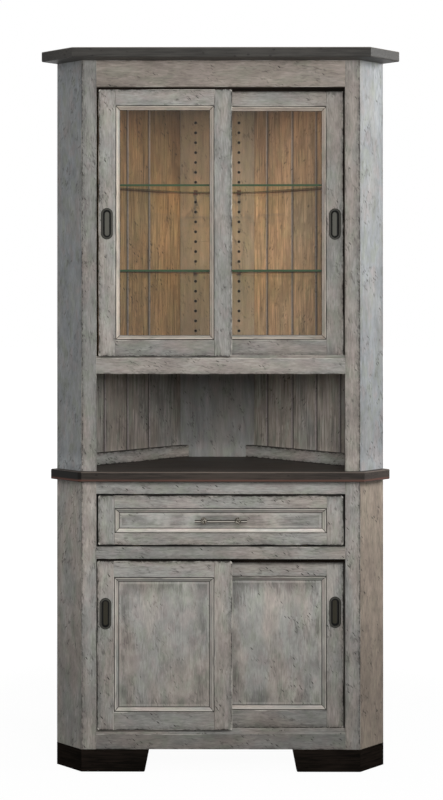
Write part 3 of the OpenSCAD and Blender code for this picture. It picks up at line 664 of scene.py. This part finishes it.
maple = bare_wood("maple", srgb(214, 188, 150), srgb(186, 152, 110))
poplar = bare_wood("poplar", srgb(196, 184, 150), srgb(160, 146, 112))


# %% Metals
def metal(name, bright, dull, rough, grime, metallic=1.0):
    plate = Finish(name, Metallic=metallic)
    x, y, z = plate.axes()
    place = plate.point(x, y, z)
    tarnish = plate.noise(place, 60.0, 3.0)
    scratches = plate.noise(plate.point(x, y, z * 8.0), 500.0, 2.0)
    colour = plate.mix(plate.ramp(tarnish, 0.35, 0.7) * grime, bright, dull)
    plate.bump(scratches + tarnish, 0.05 * MM, 0.3)
    return plate.set(Base_Color=colour, Roughness=rough + tarnish * 0.2)


RING, SHADE = srgb(68, 67, 62), srgb(12, 12, 11)


def bronze(door, cup):
    """A rubbed ring, a wall painted black as shade, a cup painted paler in its middle as the light
    on its floor, and painted shade along the outer edge.
    """
    low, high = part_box(door + "_door_pull")
    middle, radius = (low + high) / 2, (high.x - low.x) / 2
    plate = Finish(door + "_bronze", Metallic=0.2, Specular_IOR_Level=0.3)
    x, y, z = plate.axes()
    uneven = plate.noise(plate.point(x, y, z), 400.0, 2.0)
    beyond = plate.larger(plate.size(z - middle.z) - ((high.z - low.z) / 2 - radius), 0.0)
    place = plate.point(x - middle.x, 0.0, beyond)
    out = plate.length_of(place) + (uneven - 0.5) * (2 * MM)
    colour = plate.mix(plate.ramp(out, 5 * MM, 8 * MM), cup, SHADE)
    colour = plate.mix(plate.ramp(out, 11 * MM, 12.5 * MM), colour, RING)
    colour = plate.mix(plate.ramp(out, radius - 2.5 * MM, radius - 1 * MM) * 0.6, colour, SHADE)
    plate.bump(uneven, 0.2 * MM, 0.4)
    return plate.set(Base_Color=colour, Roughness=0.45 + uneven * 0.2)


zinc = metal("zinc", srgb(200, 203, 208), srgb(150, 152, 156), 0.28, 0.5)
old_brass = metal("old_brass", srgb(104, 58, 36), srgb(34, 20, 14), 0.45, 0.9, 0.3)


# %% The drawer pull
def hammered_pewter():
    """Dark in the dents of its two heads. The bar is painted bright along its front, a highlight
    and rubbing both, and painted dark above and below as shade; the heads are painted darker round
    their outline, also as shade.
    """
    low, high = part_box("drawer_pull")
    middle = (low + high) / 2
    plate = Finish("pewter", Metallic=0.35, Specular_IOR_Level=0.3)
    x, y, z = plate.axes()
    dents = plate.cells(plate.point(x, y, z), 300.0, "Distance")
    uneven = plate.noise(plate.point(x, y, z), 420.0, 2.0)
    from_post = plate.size(plate.size(x - middle.x) - 50 * MM)
    head = plate.ramp(from_post, 10.5 * MM, 9.0 * MM)
    above = plate.size(z - middle.z)
    # Painted highlight along the front of the bar, and painted shade above and below it.
    bar_shade = plate.ramp(above + uneven * (0.6 * MM), 1.4 * MM, 2.8 * MM)
    bar = plate.mix(bar_shade, srgb(176, 170, 160), srgb(30, 27, 25))
    hammered = plate.ramp(dents + uneven * 0.3, 0.35, 0.8)
    knob = plate.mix(hammered, srgb(186, 180, 168), srgb(70, 64, 56))
    round_head = plate.length_of(plate.point(from_post, 0.0, above))
    # Painted shade round the outline of each head.
    knob = plate.mix(plate.ramp(round_head, 7.5 * MM, 9.5 * MM), knob, srgb(60, 55, 49))
    plate.bump(uneven - dents * head, 0.6 * MM, 0.5)
    return plate.set(Base_Color=plate.mix(head, bar, knob), Roughness=0.4 + dents * 0.2)


pewter = hammered_pewter()


# %% Glass
def see_through(name, tint, mirror, rough):
    """Light goes straight through but for the share that is mirrored."""
    glass = Finish(name)
    clear = glass.node("BsdfTransparent", {}, {"Color": tint})
    shine = glass.node("BsdfAnisotropic", {}, {"Color": (1, 1, 1, 1), "Roughness": rough})
    both = glass.node("MixShader", {}, {0: mirror, 1: clear, 2: shine})
    glass.tree.nodes.remove(glass.shader)
    glass.tree.links.new(both.socket, glass.tree.nodes["Material Output"].inputs["Surface"])
    return glass


pane_glass = see_through("pane_glass", (0.955, 0.965, 0.96, 1), 0.015, 0.02)
shelf_glass = see_through("shelf_glass", (0.95, 0.965, 0.88, 1), 0.03, 0.03)
far_edge = see_through("far_edge", (0.4, 0.34, 0.27, 1), 0.03, 0.3)
groove_glass = see_through("groove_glass", (0.78, 0.8, 0.76, 1), 0.12, 0.6)
ground_edge = Finish("ground_edge", Roughness=0.5, Specular_IOR_Level=0.1)
ground_edge.set(Base_Color=srgb(54, 84, 56))
lens = Finish("lens", Base_Color=srgb(250, 240, 215), Roughness=0.5)
lens.set(Emission_Color=srgb(255, 214, 160), Emission_Strength=6.0)
print("Wood, metal, glass and lamp finishes ready")

# %% [markdown]
# ## Easing the boards
#
# The CAD boards are exact: flat faces that meet at knife edges. A real board
# has its open edges eased with a sanding block, and that thin rounded edge is
# what catches the light. We take a copy of each CAD board, join its loose
# triangles and dissolve them to whole faces. Then we find the frame of each
# board, note which of its sides are open, and bevel only the edges there: an
# edge that is glued to the next board stays tight, as the paint hides it.


# %% Copy a CAD node as whole faces
def whole_faces(node):
    shape = bmesh.new()
    shape.from_mesh(frame["nodes"][node].data)
    bmesh.ops.remove_doubles(shape, verts=shape.verts, dist=0.01 * MM)
    bmesh.ops.dissolve_limit(
        shape, angle_limit=math.radians(1), verts=shape.verts, edges=shape.edges
    )
    return shape


def boards_in(shape):
    """The separate boards of a shape, each as a set of its points."""
    left, boards = set(shape.verts), []
    for start in shape.verts:
        if start not in left:
            continue
        board, reach = set(), [start]
        while reach:
            v = reach.pop()
            if v in left:
                left.remove(v)
                board.add(v)
                reach.extend(e.other_vert(v) for e in v.link_edges)
        boards.append(board)
    return sorted(boards, key=place_order)


def place_order(board):
    """Left to right, and from the floor up."""
    across, up = [v.co.x for v in board], [v.co.z for v in board]
    return round(min(across), 4), round(min(up), 4), round(max(across), 4)


# %% The frame of a board
def span(points, axis):
    reach = [v.co.dot(axis) for v in points]
    return min(reach), max(reach)


def axes_of(board):
    """Directions across, through and along the board: those of the tightest box that fits it."""
    fits = []
    for turn in (0, 45, -45):
        c, s = math.cos(math.radians(turn)), math.sin(math.radians(turn))
        axes = [Vector((c, s, 0)), Vector((-s, c, 0)), Vector((0, 0, 1))]
        spans = [high - low for low, high in (span(board, axis) for axis in axes)]
        order = sorted(range(3), key=lambda i: spans[i])
        volume = round(spans[0] * spans[1] * spans[2], 9)
        fits.append((volume, abs(turn), [axes[order[i]] for i in (1, 0, 2)]))
    return min(fits, key=lambda fit: fit[:2])[2]


def is_open(board, points, axis, high):
    """Whether that side of the board is on the outside of its node."""
    own, whole = span(board, axis), span(points, axis)
    return float(abs(own[high] - whole[high]) < 1 * MM)


def mark_boards(shape, name, tones, sides=None, light=(1.0,), inner=0.0):
    """Stores in each point the frame of its board. Returns the boards and their frames."""
    vectors = {n: shape.verts.layers.float_vector.new(n) for n in ("place", "half", "sides")}
    layers = vectors | {n: shape.verts.layers.float.new(n) for n in ("board", "tone", "light")}
    chance = random.Random(name)
    marked = []
    for i, board in enumerate(boards_in(shape)):
        axes = axes_of(board)
        spans = [span(board, axis) for axis in axes]
        across, along = axes[0], axes[2]
        ends = min(is_open(board, shape.verts, along, 0), is_open(board, shape.verts, along, 1))
        found = [max(inner, is_open(board, shape.verts, across, high)) for high in (0, 1)] + [ends]
        values = {
            "half": Vector([(high - low) / 2 for low, high in spans]),
            "sides": Vector(sides or found),
            "board": chance.random(),
            "tone": tones[i % len(tones)],
            "light": light[i % len(light)],
        }
        for v in board:
            v[layers["place"]] = Vector(
                [v.co.dot(axis) - (low + high) / 2 for axis, (low, high) in zip(axes, spans)]
            )
            for n, value in values.items():
                v[layers[n]] = value
        marked.append((board, axes, spans, values["sides"]))
    return marked


# %% Ease the open edges
def eased_edges(marked, radius):
    """The long outer edges of the boards that lie on no glued side."""
    chosen = []
    for board, axes, spans, sides in marked:
        across, through, along = axes
        for e in {e for v in board for e in v.link_edges}:
            if len(e.link_faces) < 2 or not e.is_convex:
                continue
            if e.calc_face_angle() < 0.5 or e.calc_length() < 6 * radius:
                continue
            middle = (e.verts[0].co + e.verts[1].co) / 2
            from_low = middle.dot(across) - spans[0][0]
            from_high = spans[0][1] - middle.dot(across)
            from_end = min(middle.dot(along) - spans[2][0], spans[2][1] - middle.dot(along))
            distances = zip((from_low, from_high, from_end), sides)
            if not any(distance < 0.1 * MM and not side for distance, side in distances):
                chosen.append(e)
    return chosen


def ease(shape, marked, radius):
    """Bevels the open edges and marks the narrow new faces: eased is 1 there."""
    edges = eased_edges(marked, radius)
    before = set(shape.faces)
    bmesh.ops.bevel(
        shape, geom=edges, offset=radius, offset_type="OFFSET", affect="EDGES",
        segments=2, profile=0.5, material=-1, clamp_overlap=True,
    )
    layer = shape.faces.layers.float.new("eased")
    for face in shape.faces:
        width = 2 * face.calc_area() / face.calc_perimeter()
        face[layer] = float(width < 1.2 * radius and face not in before)
        face.smooth = face[layer] > 0


def stand_in(shape, node, *finishes):
    mesh = bpy.data.meshes.new(node + "_eased")
    shape.to_mesh(mesh)
    shape.free()
    for finish in finishes:
        mesh.materials.append(finish.material)
    piece = bpy.data.objects.new(mesh.name, mesh)
    bpy.context.collection.objects.link(piece)
    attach(piece, frame["nodes"][node]["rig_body"])
    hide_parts(node)
    return piece


def darken_holes(shape):
    """The walls and the floors of the pin holes take the second finish, painted near-black shade:
    faces well inside the outline of their board that don't lie in its front or back."""
    place, half = shape.verts.layers.float_vector["place"], shape.verts.layers.float_vector["half"]
    for face in shape.faces:
        inside = all(abs(v[place][i]) < v[half][i] - 2 * MM for v in face.verts for i in (0, 2))
        on_surface = all(abs(v[place][1]) > v[half][1] - 0.5 * MM for v in face.verts)
        depths = [v[place][1] for v in face.verts]
        flat = on_surface and max(depths) - min(depths) < 1 * MM
        face.material_index = int(inside and not flat)


def eased(
    node, finish, radius=0.7 * MM, tones=(0.5,), sides=None, holes=None, light=(1.0,), inner=0.0
):
    shape = whole_faces(node)
    marked = mark_boards(shape, node, tones, sides, light, inner)
    ease(shape, marked, radius)
    if holes:
        darken_holes(shape)
    piece = stand_in(shape, node, finish, *([holes] if holes else []))
    print("%-28s %d boards, %d faces" % (node, len(marked), len(piece.data.polygons)))
    return piece


# %% [markdown]
# ## The case
#
# Now every board of the case gets its eased copy. The tones follow the real hutch: the wide top
# rail and the right-hand boards took the warmer coat, the left-hand ones the cooler. The light
# values are partly the coat's own paleness and partly painted light, paler or darker as more or
# less light falls on a board, so the bottom rail, nearest the floor, is painted darker.

# %% Face frame and returns
FAINT = 0.3
eased("upper_left_stile", case_paint, tones=(-0.2,), sides=(1.0, FAINT, 0.0))
eased("upper_right_stile", case_paint, tones=(0.7,), sides=(FAINT, 1.0, 0.0))
eased("upper_top_rail", case_paint, tones=(1.5,), sides=(FAINT, FAINT, 0.0))
eased("upper_mid_rail", case_paint, tones=(0.6,), sides=(0.6, 0.0, 0.0), light=(1.12,))
eased("upper_returns", return_paint, tones=(0.3, 0.2), sides=(FAINT, FAINT, 0.0), holes=painted_hole_shade)
eased("base_left_stile", case_paint, tones=(0.3,), sides=(0.8, FAINT, 0.0), light=(1.06,))
eased("base_right_stile", case_paint, tones=(0.4,), sides=(FAINT, 0.8, 0.0), light=(0.93,))
eased("base_top_rail", case_paint, tones=(-0.2,), sides=(FAINT, FAINT, 0.0), light=(0.95,))
eased("drawer_rail", case_paint, tones=(0.2,), sides=(FAINT, FAINT, 0.0), light=(0.87,))
eased("base_bottom_rail", case_paint, tones=(0.4,), sides=(0.6, 0.0, 0.0), light=(0.75,))
eased("base_returns", case_paint, tones=(0.6, 1.8), sides=(FAINT, FAINT, 0.0), light=(0.85, 0.75))
eased("nook_cleats", case_paint, tones=(0.6, 0.5))

# %% Cap, counter and feet
eased("top_cap", cap_stain, radius=1.2 * MM, sides=(1.0, 1.0, 1.0))
eased("counter_top", counter_stain, radius=1.2 * MM, sides=(1.0, 1.0, 1.0))
for foot in ("left_foot", "right_foot", "rear_feet"):
    eased(foot, foot_stain, sides=(1.0, 1.0, 1.0))

# %% Inside of the case
# Painted light: the right wall is painted paler than the left, as more light falls on it.
for planks, paint, tones, light in (
    ("left_planks", plank_paints[0], (0.9, 0.7, 1.0, 0.5, 0.4), 0.97),
    ("right_planks", plank_paints[1], (0.8, 0.9, 0.5, 0.9, 0.3, 0.6), 1.27),
):
    eased(planks, paint, radius=0.3 * MM, tones=tones, sides=(1.0, 0.2, 0.0), light=(light,))
eased(
    "upper_back_panel", back_paint, tones=(0.4,), sides=(0.5, 0.5, 0.0), holes=painted_hole_shade, light=(0.9,)
)
eased("display_deck", plank_paints[1], tones=(0.7,))
for board in ("sub_top", "base_walls", "base_back_panel", "base_floor", "dust_panel", "base_shelf"):
    eased(board, ply_paint, radius=0.4 * MM)
# The head tracks take the near-black foot stain as painted shade, so the line above the doors reads
# dark.
eased("head_tracks", foot_stain, radius=0.4 * MM)
eased("sill_tracks", case_paint, radius=0.3 * MM, sides=(0.0, 0.0, 0.0))
for board in ("drawer_hangers", "foot_blocks"):
    eased(board, poplar)

# %% Doors and drawer boards
# The light values are partly the coat's own paleness and partly painted light, for how much light
# falls on each member and panel.
for door, tones, light in (
    ("left_glass_door_frame", (0.5, 0.4, 0.5, 0.0), (1.28, 0.97, 1.17, 1.1)),
    ("right_glass_door_frame", (0.6, 0.5, 0.7, 0.5), (1.1, 0.97, 1.07, 1.05)),
    ("left_panel_door_frame", (0.5, 0.4, 0.5, 0.5), (1.07, 1.0, 1.07, 1.07)),
    ("right_panel_door_frame", (0.5, 0.4, 0.5, 0.4), (1.05, 0.95, 1.05, 1.05)),
    ("drawer_front_frame", (0.5, 0.4, 0.5, 0.5), (0.97,)),
):
    eased(door, case_paint, radius=1.2 * MM, tones=tones, light=light, inner=0.08)
for panel, light in (("left_panel_door", 1.18), ("right_panel_door", 1.2), ("drawer_front", 1.15)):
    eased(panel + "_panel", panel_paint, tones=(0.5,), light=(light,))
eased("drawer_box", maple, radius=0.5 * MM)
eased("drawer_bottom", maple)

# %% [markdown]
# ## Mouldings
#
# Each panel and pane is held by a small mitred moulding: a bead, a step and a
# cove. The curves are shaded smooth and only the true corners stay sharp. What
# the finish still needs is how far inward a point lies, from the outside of
# the whole frame of mouldings.


# %% Mouldings
SHARP_CORNER = 0.6


def moulding(node, finish, tones, light=(1.0,)):
    shape = whole_faces(node)
    low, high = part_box(node)
    inward = shape.verts.layers.float.new("inward")
    for v in shape.verts:
        reach = (v.co.x - low.x, high.x - v.co.x, v.co.z - low.z, high.z - v.co.z)
        v[inward] = min(reach) / MOULDING_WIDTH
    for face in shape.faces:
        face.smooth = True
    for e in shape.edges:
        e.smooth = len(e.link_faces) == 2 and e.calc_face_angle() < SHARP_CORNER
    marked = mark_boards(shape, node, tones, light=light)
    piece = stand_in(shape, node, finish)
    print("%-28s %d members, %d faces" % (node, len(marked), len(piece.data.polygons)))


# Painted light: the members are paler or darker for the light from above, the mouldings' bottom
# members palest and their top ones darkest, the beads' bottom and right members palest.
for door in ("left_glass_door", "right_glass_door"):
    moulding(door + "_bead", bead_paint, (0.9, 0.5, 0.7, 0.0), (1.15, 1.35, 1.1, 1.35))
for door in ("left_panel_door", "right_panel_door", "drawer_front"):
    moulding(door + "_moulding", moulding_paint, (0.9, 0.7, 0.4, 0.6), (1.1, 1.75, 0.75, 1.1))

# %% [markdown]
# ## Dust strips
#
# Light from the display would shine out beside the closed doors, but on the real hutch those gaps
# are dark. What closes them can't be seen; a strip of brush beside the front door and a batten
# behind the stile are our guess. They are near black, so they also stand in for the shade in those
# gaps: painted shade.


# %% Dust strips
def strip(name, low, high):
    shape = bmesh.new()
    bmesh.ops.create_cube(shape, size=1.0)
    for v in shape.verts:
        v.co = [near if at < 0 else far for at, near, far in zip(v.co, low, high)]
    mesh = bpy.data.meshes.new(name)
    shape.to_mesh(mesh)
    shape.free()
    mesh.materials.append(pile_and_gap_shade.material)
    piece = bpy.data.objects.new(name, mesh)
    bpy.context.collection.objects.link(piece)
    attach(piece, frame["nodes"]["upper_top_rail"]["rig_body"])


# The strips are near black: painted shade in the gaps beside the doors.
pile_and_gap_shade = Finish("dust_pile_and_gap_shade", Roughness=0.9, Specular_IOR_Level=0.0)
hairs = pile_and_gap_shade.noise(pile_and_gap_shade.point(*pile_and_gap_shade.axes()), 900.0, 2.0)
pile_and_gap_shade.set(Base_Color=pile_and_gap_shade.mix(hairs, srgb(22, 20, 17), srgb(40, 36, 30)))
door_low, door_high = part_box("left_glass_door_frame")
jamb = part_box("upper_left_stile")[1].x
for name, left, front, right, rear in (
    ("dust_brush", jamb, 6 * MM, jamb + 4.5 * MM, 17 * MM),
    ("dust_batten", -jamb + 0.5 * MM, 20 * MM, -jamb + 6 * MM, 60 * MM),
):
    strip(name, (left, face_y + front, door_low.z), (right, face_y + rear, door_high.z))
print("Two dust strips, %.3f m tall" % (door_high.z - door_low.z))

# %% [markdown]
# ## Glass
#
# The panes only need their finish. The shelves get softly ground edges: a
# bevelled copy, whose side faces take the green and whose broad faces stay
# clear.

# %% Panes and shelves
for pane in ("left_glass_door_pane", "right_glass_door_pane"):
    frame["nodes"][pane].data.materials.clear()
    frame["nodes"][pane].data.materials.append(pane_glass.material)
shelves = whole_faces("glass_shelves")
ease(shelves, mark_boards(shelves, "glass_shelves", (0.5,), (1.0, 1.0, 1.0)), 2.2 * MM)
tops = [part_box("glass_shelves")[1].z - drop for drop in (0.0, 8 * PIN_PITCH)]
for face in shelves.faces:
    middle = face.calc_center_median()
    in_groove = any(1 * MM < top - middle.z < 1.6 * MM for top in tops) and face.normal.z > 0.9
    if in_groove:
        face.material_index = 2
    elif abs(face.normal.z) < 0.95:
        face.material_index = 1 if face.normal.y < 0 else 3
stand_in(shelves, "glass_shelves", shelf_glass, ground_edge, groove_glass, far_edge)
print("Two panes and two shelves")

# %% [markdown]
# ## Pulls, supports and lamps
#
# Turned and pressed metal is smooth where the CAD has many small flats, so the
# copies are shaded smooth except at true corners.


# %% Smooth metal
def smooth_metal(node, finish):
    shape = whole_faces(node)
    for face in shape.faces:
        face.smooth = True
    for e in shape.edges:
        e.smooth = len(e.link_faces) == 2 and e.calc_face_angle() < SHARP_CORNER
    piece = stand_in(shape, node, finish)
    print("%-28s %d faces" % (node, len(piece.data.polygons)))


# The cups of the upper pulls are painted paler, as light falls on them, and those of the lower
# pulls darker, as shade: the same bronze, painted light and shade.
CUP_PAINTED_LIT, CUP_PAINTED_SHADED = srgb(98, 97, 90), srgb(52, 49, 39)
for kind, cup in (("glass", CUP_PAINTED_LIT), ("panel", CUP_PAINTED_SHADED)):
    for door in ("left_" + kind, "right_" + kind):
        smooth_metal(door + "_door_pull", bronze(door, cup))
smooth_metal("drawer_pull", pewter)
smooth_metal("shelf_supports", old_brass)
smooth_metal("light_housings", zinc)
smooth_metal("light_lenses", lens)
for member in ("slide_outer_members", "slide_middle_members", "slide_inner_members"):
    smooth_metal(member, zinc)

# %% Lamps in the display case
LAMP_WARM = (1.0, 0.64, 0.34)
BEAM_POWER, SPILL_POWER = 9, 0.7
lens_low, lens_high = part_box("light_lenses")
lens_radius = (lens_high.y - lens_low.y) / 2
for side in (-1, 1):
    across, back = side * (lens_high.x - lens_radius), (lens_low.y + lens_high.y) / 2
    beam = bpy.data.lights.new("puck_beam", "SPOT")
    beam.energy, beam.color = BEAM_POWER, LAMP_WARM
    beam.spot_size, beam.spot_blend = math.radians(58), 1.0
    beam.shadow_soft_size = 4 * MM
    puck = bpy.data.objects.new(beam.name, beam)
    puck.location = (across, back, lens_low.z - 2 * MM)
    bpy.context.collection.objects.link(puck)
spill = bpy.data.lights.new("display_spill", "AREA")
spill.shape, spill.size, spill.size_y = "RECTANGLE", 0.5, 0.12
spill.energy, spill.color = SPILL_POWER, LAMP_WARM
glow_box = bpy.data.objects.new("display_spill", spill)
glow_box.location = (0, face_y + 0.15, lens_low.z - 4 * MM)
bpy.context.collection.objects.link(glow_box)
print("Two warm lamps under the ceiling of the display, and the light that the ceiling throws back")

# %% [markdown]
# ## Measure and finish
#
# The last step prints the box of the CAD model.

# %% Size and finish
print("CAD box ", [[round(x, 4) for x in corner] for corner in cad_box])
